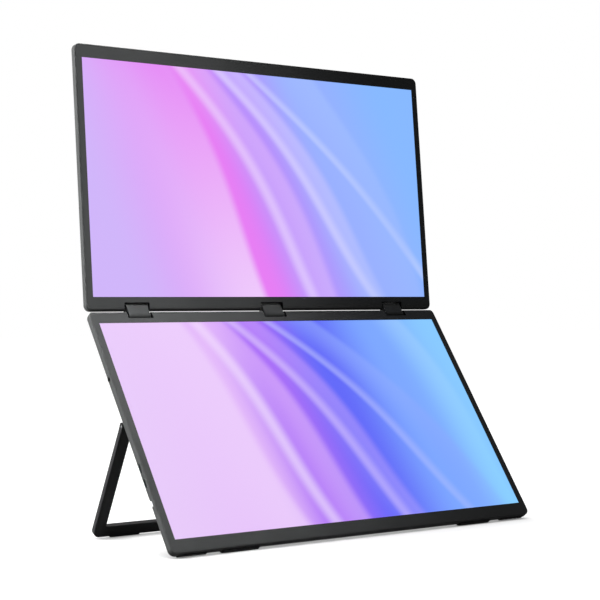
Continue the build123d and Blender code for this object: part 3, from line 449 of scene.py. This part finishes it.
add_piece("socket_tongues", tongues, moulded_socket, "lower_screen")
add_piece("socket_contacts", contacts, gilding, "lower_screen")


# Audio jack: a moulded barrel behind the left wall, with a rounded lip round its mouth to guide
# the plug. The menu switch beside it has a case of the same plastic.
dress(moulded_socket, "audio_jack", "button_switch")
mounts = {mount["name"]: mount for mount in frame["record"]["mounts"]}
jack = mounts["audio_jack"]
bore_r = jack["dims"]["r_mm"] / mm_per_metre
turn = Vector(jack["axis"]).to_track_quat("Z", "Y").to_matrix()
ring_axis = turn.transposed() @ Vector(jack["pos_m"])
ring_axis.z = 0
mouth = max((turn.transposed() @ vert.co).z for vert in nodes["audio_jack"].data.vertices)
ring = bmesh.new()
section_r, section_sides, ring_sides = 0.00012, 10, 40
profile = []
for i in range(section_sides + 1):
    angle = math.tau * i / section_sides
    radius = bore_r + section_r * (1 + math.cos(angle))
    profile.append(circle(radius, mouth + section_r * math.sin(angle), ring_sides))
loft(ring, [[turn @ (point + ring_axis) for point in level] for level in profile])
bmesh.ops.remove_doubles(ring, verts=ring.verts, dist=1e-7)
add_piece("jack_ring", ring, moulded_socket, "lower_screen")


# Menu button: a small key of bright aluminium, tumbled smooth, held in the left wall by its
# flange and pressed against a switch on the board.
tumbled_aluminium = finish(
    "tumbled_aluminium", ("#b4b5b7", "#c3c4c6"), drift_mm=3, grain_mm=0.3,
    relief_mm=0.004, roughness=(0.3, 0.4), Metallic=1.0,
)
dress(tumbled_aluminium, "menu_button")


# Speakers: two small boxes of black ABS, each with a paper cone behind the grille of the bay.
# They come from the mould with a dull, slightly pebbled skin.
speaker_plastic = finish(
    "speaker_abs", ("#1a1a1b", "#212122"), drift_mm=10, grain_mm=0.8,
    relief_mm=0.02, roughness=(0.5, 0.65), Specular_IOR_Level=0.3,
)
dress(speaker_plastic, "left_speaker", "right_speaker")


# Backlights: light guides of acrylic on a bright aluminium plate, which lies against the cover
# and spreads the heat of the lamps. Rolling leaves long, faint streaks across the plate.
rolled_plate = finish(
    "rolled_aluminium_plate", ("#b9babc", "#c8c9cb"), drift_mm=30, grain_mm=0.8,
    relief_mm=0.01, roughness=(0.3, 0.42), stretch=(0.03, 1, 1), Metallic=1.0,
)
dress(rolled_plate, "lower_backlight", "upper_backlight")


# Display glass: the front of each panel, matte polarising film over glass, lit from behind.
# It shows a plain desktop of soft overlapping waves, and is black where it is unlit.
def wave_picture(name, screen, slant, sky, waves):
    """Matte black glass with a lit picture: a slanted sky, then each wave laid over the last.

    Places in the picture run from -0.5 to 0.5 both ways. A wave's crest is where it ends.
    """
    edge_width = 0.03
    mix_below, mix_above, mix_colour = 6, 7, 2
    material = bpy.data.materials.new(name)
    material.use_nodes = True
    tree = material.node_tree
    shader = tree.nodes["Principled BSDF"]
    low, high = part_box(f"{screen}_lcd_cell")
    up = across.cross(-screen_front(screen))
    width = high.x - low.x
    height = (high.z - low.z) / up.z
    place = node(tree, "ShaderNodeTexCoord", {}).outputs["Object"]
    place = node(
        tree, "ShaderNodeVectorMath", {0: place, 1: (low + high) / 2}, operation="SUBTRACT",
    ).outputs[0]
    x, y = [
        node(
            tree, "ShaderNodeVectorMath", {0: place, 1: way}, operation="DOT_PRODUCT",
        ).outputs["Value"]
        for way in (across / width, up / height)
    ]
    from_left, from_foot = [
        node(tree, "ShaderNodeMath", {0: way, 1: 0.5}, operation="ADD").outputs[0]
        for way in (x, y)
    ]
    along = node(
        tree, "ShaderNodeMath", {0: y, 1: slant, 2: from_left}, operation="MULTIPLY_ADD",
    ).outputs[0]
    painted = node(tree, "ShaderNodeValToRGB", {"Fac": along})
    ramp = painted.color_ramp
    ramp.interpolation = "EASE"
    while len(ramp.elements) < len(sky):
        ramp.elements.new(1.0)
    for element, (position, shade) in zip(ramp.elements, sky):
        element.position = position
        element.color = linear(shade)
    colour = painted.outputs["Color"]

    for level, tilt, swing, turns, start, depth, strength, foot, head in waves:
        phase = node(
            tree, "ShaderNodeMath", {0: y, 1: turns * math.tau, 2: start * math.tau},
            operation="MULTIPLY_ADD",
        ).outputs[0]
        sine = node(tree, "ShaderNodeMath", {0: phase}, operation="SINE").outputs[0]
        crest = node(
            tree, "ShaderNodeMath", {0: sine, 1: swing, 2: level}, operation="MULTIPLY_ADD",
        ).outputs[0]
        crest = node(
            tree, "ShaderNodeMath", {0: y, 1: tilt, 2: crest}, operation="MULTIPLY_ADD",
        ).outputs[0]
        past = node(tree, "ShaderNodeMath", {0: x, 1: crest}, operation="SUBTRACT").outputs[0]
        body = node(
            tree, "ShaderNodeMapRange",
            {"Value": past, "From Min": -depth, "From Max": 0.0, "To Max": strength},
            interpolation_type="SMOOTHSTEP",
        ).outputs["Result"]
        edge = node(
            tree, "ShaderNodeMapRange",
            {"Value": past, "From Min": 0.0, "From Max": edge_width, "To Min": 1.0, "To Max": 0.0},
            interpolation_type="SMOOTHSTEP",
        ).outputs["Result"]
        share = node(tree, "ShaderNodeMath", {0: body, 1: edge}, operation="MULTIPLY").outputs[0]
        tint = node(
            tree, "ShaderNodeMix",
            {0: from_foot, mix_below: linear(foot), mix_above: linear(head)}, data_type="RGBA",
        ).outputs[mix_colour]
        colour = node(
            tree, "ShaderNodeMix", {0: share, mix_below: colour, mix_above: tint}, data_type="RGBA",
        ).outputs[mix_colour]

    shader.inputs["Base Color"].default_value = linear("#060607")
    shader.inputs["Roughness"].default_value = 0.5
    shader.inputs["Specular IOR Level"].default_value = 0.08
    shader.inputs["Emission Strength"].default_value = 1.0
    tree.links.new(colour, shader.inputs["Emission Color"])
    return material


# A sky is places from left to right with their colours. A wave is its crest's level, tilt, swing,
# turns and start, its depth and strength, and its colours at the picture's foot and head.
upper_sky = [
    (0.0, "#cfb4f9"), (0.22, "#dca6f8"), (0.385, "#e67cf3"),
    (0.52, "#b78cfb"), (0.72, "#97aeff"), (1.0, "#86b8ff"),
]
upper_waves = [
    (-0.16, -0.35, 0.05, 0.5, 0.1, 0.25, 0.8, "#f0d6fd", "#e588f5"),
    (-0.06, -0.46, 0.06, 0.5, 0.15, 0.03, 0.55, "#efe0ff", "#f4dcfd"),
    (0.0, -0.42, 0.06, 0.5, 0.2, 0.14, 0.5, "#d9bcfd", "#e4b6fa"),
    (0.1, -0.56, 0.05, 0.6, 0.1, 0.025, 0.5, "#dfe0ff", "#ece0ff"),
    (0.14, -0.5, 0.05, 0.6, 0.15, 0.1, 0.5, "#b9c4ff", "#d8ccff"),
    (0.24, -0.64, 0.05, 0.5, 0.2, 0.02, 0.4, "#cfdcff", "#dfe4ff"),
    (0.3, -0.3, 0.06, 0.5, 0.3, 0.2, 0.4, "#9fb8ff", "#a9c6ff"),
]
lower_sky = [
    (0.0, "#e6c8f8"), (0.28, "#e2b8f8"), (0.42, "#a86af6"),
    (0.6, "#5f66f8"), (0.8, "#7ba6ff"), (1.0, "#86c8ff"),
]
lower_waves = [
    (-0.22, -0.25, 0.05, 0.5, 0.0, 0.3, 0.6, "#ecd2fb", "#efd4fb"),
    (-0.15, -0.28, 0.05, 0.5, 0.05, 0.03, 0.55, "#f4e4fd", "#f6e6fd"),
    (-0.08, -0.3, 0.06, 0.5, 0.1, 0.12, 0.5, "#d7b0fb", "#e6b8fa"),
    (0.0, -0.38, 0.06, 0.5, 0.12, 0.025, 0.45, "#dcccfe", "#efdcfd"),
    (0.06, -0.35, 0.05, 0.6, 0.1, 0.1, 0.45, "#a9a0ff", "#c79cfb"),
    (0.16, -0.46, 0.05, 0.6, 0.12, 0.02, 0.4, "#aabcff", "#ccd0ff"),
    (0.26, -0.4, 0.06, 0.5, 0.2, 0.12, 0.4, "#7c9cff", "#9cb4ff"),
    (0.42, -0.2, 0.05, 0.5, 0.1, 0.1, 0.4, "#8adcff", "#a6d0ff"),
]
upper_slant, lower_slant = 0.25, 0.05
dress(
    wave_picture("upper_display", "upper", upper_slant, upper_sky, upper_waves), "upper_lcd_cell",
)
dress(
    wave_picture("lower_display", "lower", lower_slant, lower_sky, lower_waves), "lower_lcd_cell",
)


# Bezels: thin moulded frames of dark grey ABS that clip into the covers' rims and hold the
# glass. Spark-eroded tooling gives them a fine matte grain, drawn at 0.8 mm so that it shows.
moulded_abs = finish(
    "moulded_abs", ("#383939", "#3c3d3d"), drift_mm=45, grain_mm=0.8,
    relief_mm=0.02, roughness=(0.55, 0.68), Specular_IOR_Level=0.02,
)
dress(moulded_abs, "lower_bezel", "upper_bezel")


# Bay cover: a shallow pan screwed over the opening in the lower cover's back, in the same painted
# magnesium, with four turned brass inserts for a monitor arm pressed into its bosses. Their threads
# are tapped, and their brass is painted dark as shade inside the bores.
dress(painted_magnesium, "bay_cover")
cross_head_screws(
    "bay_cover_screws", -lower_front, blackened_steel, "lower_screen",
)

# The inserts' ends are faced on a lathe, which leaves them bright.
turned_brass = finish(
    "turned_brass", ("#b8923f", "#caa450"), drift_mm=4, grain_mm=0.3,
    relief_mm=0.006, roughness=(0.22, 0.34), Metallic=1.0,
)
dress(turned_brass, "mount_inserts")
# The threads' brass is painted dark, as shade inside the bores.
shaded_thread_brass = finish(
    "thread_brass_painted_shade", ("#3f3216", "#52421f"), drift_mm=3, grain_mm=0.3,
    relief_mm=0.006, roughness=(0.35, 0.5), Metallic=1.0,
)
thread_r = mounts["arm_mount"]["dims"]["hole_r_mm"] / mm_per_metre
thread_pitch, thread_depth, thread_steps = 0.0007, 0.00038, 24
flank_share = 0.45
flank = [
    (thread_r, -flank_share * thread_pitch), (thread_r - thread_depth, 0),
    (thread_r, flank_share * thread_pitch),
]
turn = (-lower_front).to_track_quat("Z", "Y").to_matrix()
threads = bmesh.new()
for points in solids("mount_inserts"):
    level = [turn.transposed() @ point for point in points]
    deep = min(point.z for point in level) + thread_pitch / 2
    length = max(point.z for point in level) - thread_pitch / 2 - deep
    middle = (Vector(map(max, zip(*level))) + Vector(map(min, zip(*level)))) / 2
    ridge = []
    for step in range(int(length / thread_pitch * thread_steps) + 1):
        angle = math.tau * step / thread_steps
        height = deep + thread_pitch * step / thread_steps
        ridge.append([
            turn @ Vector((
                middle.x + r * math.cos(angle), middle.y + r * math.sin(angle), height + z,
            ))
            for r, z in flank
        ])
    made = loft(threads, ridge)
    threads.faces.new(made[0])
    threads.faces.new(made[-1])
add_piece("insert_threads", threads, shaded_thread_brass, "lower_screen")


# Stand: flat steel bar bent into a U, which turns on two pins in brackets screwed to the lower
# cover. Spring washers beside its legs keep it where it is put. Bar and brackets are coated with
# black powder, which melts to a fine orange peel, drawn at 1.1 mm so that it shows.
powder_coat = finish(
    "black_powder_coat", ("#212122", "#262627"), drift_mm=25, grain_mm=1.1,
    relief_mm=0.03, roughness=(0.5, 0.62), Specular_IOR_Level=0.05,
)
dress(powder_coat, "stand_frame", "stand_brackets")
dress(turned_steel, "stand_pins", "stand_washers")
cross_head_screws(
    "stand_bracket_screws", -lower_front, blackened_steel, "lower_screen",
)


# Rubber: moulded feet and corner guards along the lower edge and pads under the stand, bonded
# on. The rubber is dull and a little dusty, with a fine mould grain that is drawn at 0.9 mm so
# that it shows.
moulded_rubber = finish(
    "moulded_rubber", ("#141415", "#1c1c1c"), drift_mm=8, grain_mm=0.9,
    relief_mm=0.03, roughness=(0.75, 0.9), Specular_IOR_Level=0.1,
)
dress(moulded_rubber, "front_feet", "corner_pads", "stand_pads")


# Stage: a white sweep of paper under the object and soft light all round it.
# Its glow is dimmed near the object as painted contact shadow; its matte part takes real shadow.
def seen_directly(tree):
    """1 where the camera, or a mirror or pane in its view, looks at the surface."""
    path = node(tree, "ShaderNodeLightPath", {}).outputs
    first = node(
        tree, "ShaderNodeMath", {0: path["Is Camera Ray"], 1: path["Is Glossy Ray"]},
        operation="MAXIMUM",
    ).outputs[0]
    return node(
        tree, "ShaderNodeMath", {0: first, 1: path["Is Transmission Ray"]}, operation="MAXIMUM",
    ).outputs[0]


paper_glow, painted_shadow_reach = 0.98, 0.035
paper = bpy.data.materials.new("white_paper")
paper.use_nodes = True
tree = paper.node_tree
# Ambient occlusion dims the glow near the object: a painted contact shadow.
painted_shadow_factor = node(
    tree, "ShaderNodeAmbientOcclusion", {"Distance": painted_shadow_reach}, samples=16,
).outputs["AO"]
bright = node(tree, "ShaderNodeMath", {0: painted_shadow_factor, 1: paper_glow}, operation="MULTIPLY").outputs[0]
strength = node(
    tree, "ShaderNodeMath", {0: seen_directly(tree), 1: bright}, operation="MULTIPLY",
).outputs[0]
matte = node(tree, "ShaderNodeBsdfDiffuse", {"Color": linear("#707070")}).outputs[0]
glow = node(
    tree, "ShaderNodeEmission", {"Color": linear("#ffffff"), "Strength": strength},
).outputs[0]
both = node(tree, "ShaderNodeAddShader", {0: matte, 1: glow}).outputs[0]
tree.links.new(both, tree.nodes["Material Output"].inputs["Surface"])

reach = 6.0
corners = [(-reach, -reach, 0), (reach, -reach, 0), (reach, reach, 0), (-reach, reach, 0)]
sheet = bpy.data.meshes.new("floor")
sheet.from_pydata(corners, [], [(0, 1, 2, 3)])
sheet.materials.append(paper)
floor = bpy.data.objects.new("floor", sheet)
bpy.context.scene.collection.objects.link(floor)

room_light = 0.07
world = bpy.data.worlds.new("studio")
bpy.context.scene.world = world
world.use_nodes = True
tree = world.node_tree
level = node(
    tree, "ShaderNodeMapRange",
    {"Value": seen_directly(tree), "To Min": room_light, "To Max": 1.0},
)
tree.links.new(level.outputs["Result"], tree.nodes["Background"].inputs["Strength"])
tree.nodes["Background"].inputs["Color"].default_value = linear("#ffffff")


def lamp(name, kind, place, target, energy, **settings):
    """A lamp that faces a given spot."""
    data = bpy.data.lights.new(name, kind)
    data.energy = energy
    for key, value in settings.items():
        setattr(data, key, value)
    made = bpy.data.objects.new(name, data)
    made.location = place
    made.rotation_euler = (Vector(target) - Vector(place)).to_track_quat("-Z", "Y").to_euler()
    bpy.context.scene.collection.objects.link(made)


# A narrow key from high on the left, which fades to the right, a lamp on the left sides, a wide
# one for the backs, and a weak, broad sun from above.
object_middle = (cad_box[0] + cad_box[1]) / 2
lamp(
    "key", "AREA", place=(-0.285, -0.62, 1.6), target=(-0.168, 0.03, 0.26), energy=1.16,
    shape="RECTANGLE", size=0.15, size_y=0.45, spread=math.radians(19),
)
lamp(
    "side", "AREA", place=(-0.75, 0.45, 0.43), target=(-0.178, 0.03, 0.2), energy=21,
    shape="RECTANGLE", size=0.2, size_y=0.42,
)
lamp(
    "back", "AREA", place=(0.5, 1.3, 0.9), target=object_middle, energy=30,
    shape="RECTANGLE", size=1.2, size_y=1.0,
)
lamp(
    "top", "SUN", place=(0, 0, 3), target=object_middle, energy=0.8, angle=math.radians(80),
)

# Camera: level, to the left of the object and looking across it, with a long lens that keeps
# the far ends of the screens nearly as tall as the near ones.
lens = bpy.data.cameras.new("camera")
lens.lens = 93.08
lens.sensor_width = 36.0
camera = bpy.data.objects.new("camera", lens)
camera.location = (-0.7599, -1.0407, 0.1876)
camera.rotation_euler = (math.radians(90), math.radians(0.12), math.radians(-35.87))
bpy.context.scene.collection.objects.link(camera)
bpy.context.scene.camera = camera
bpy.context.scene.view_settings.view_transform = "Standard"
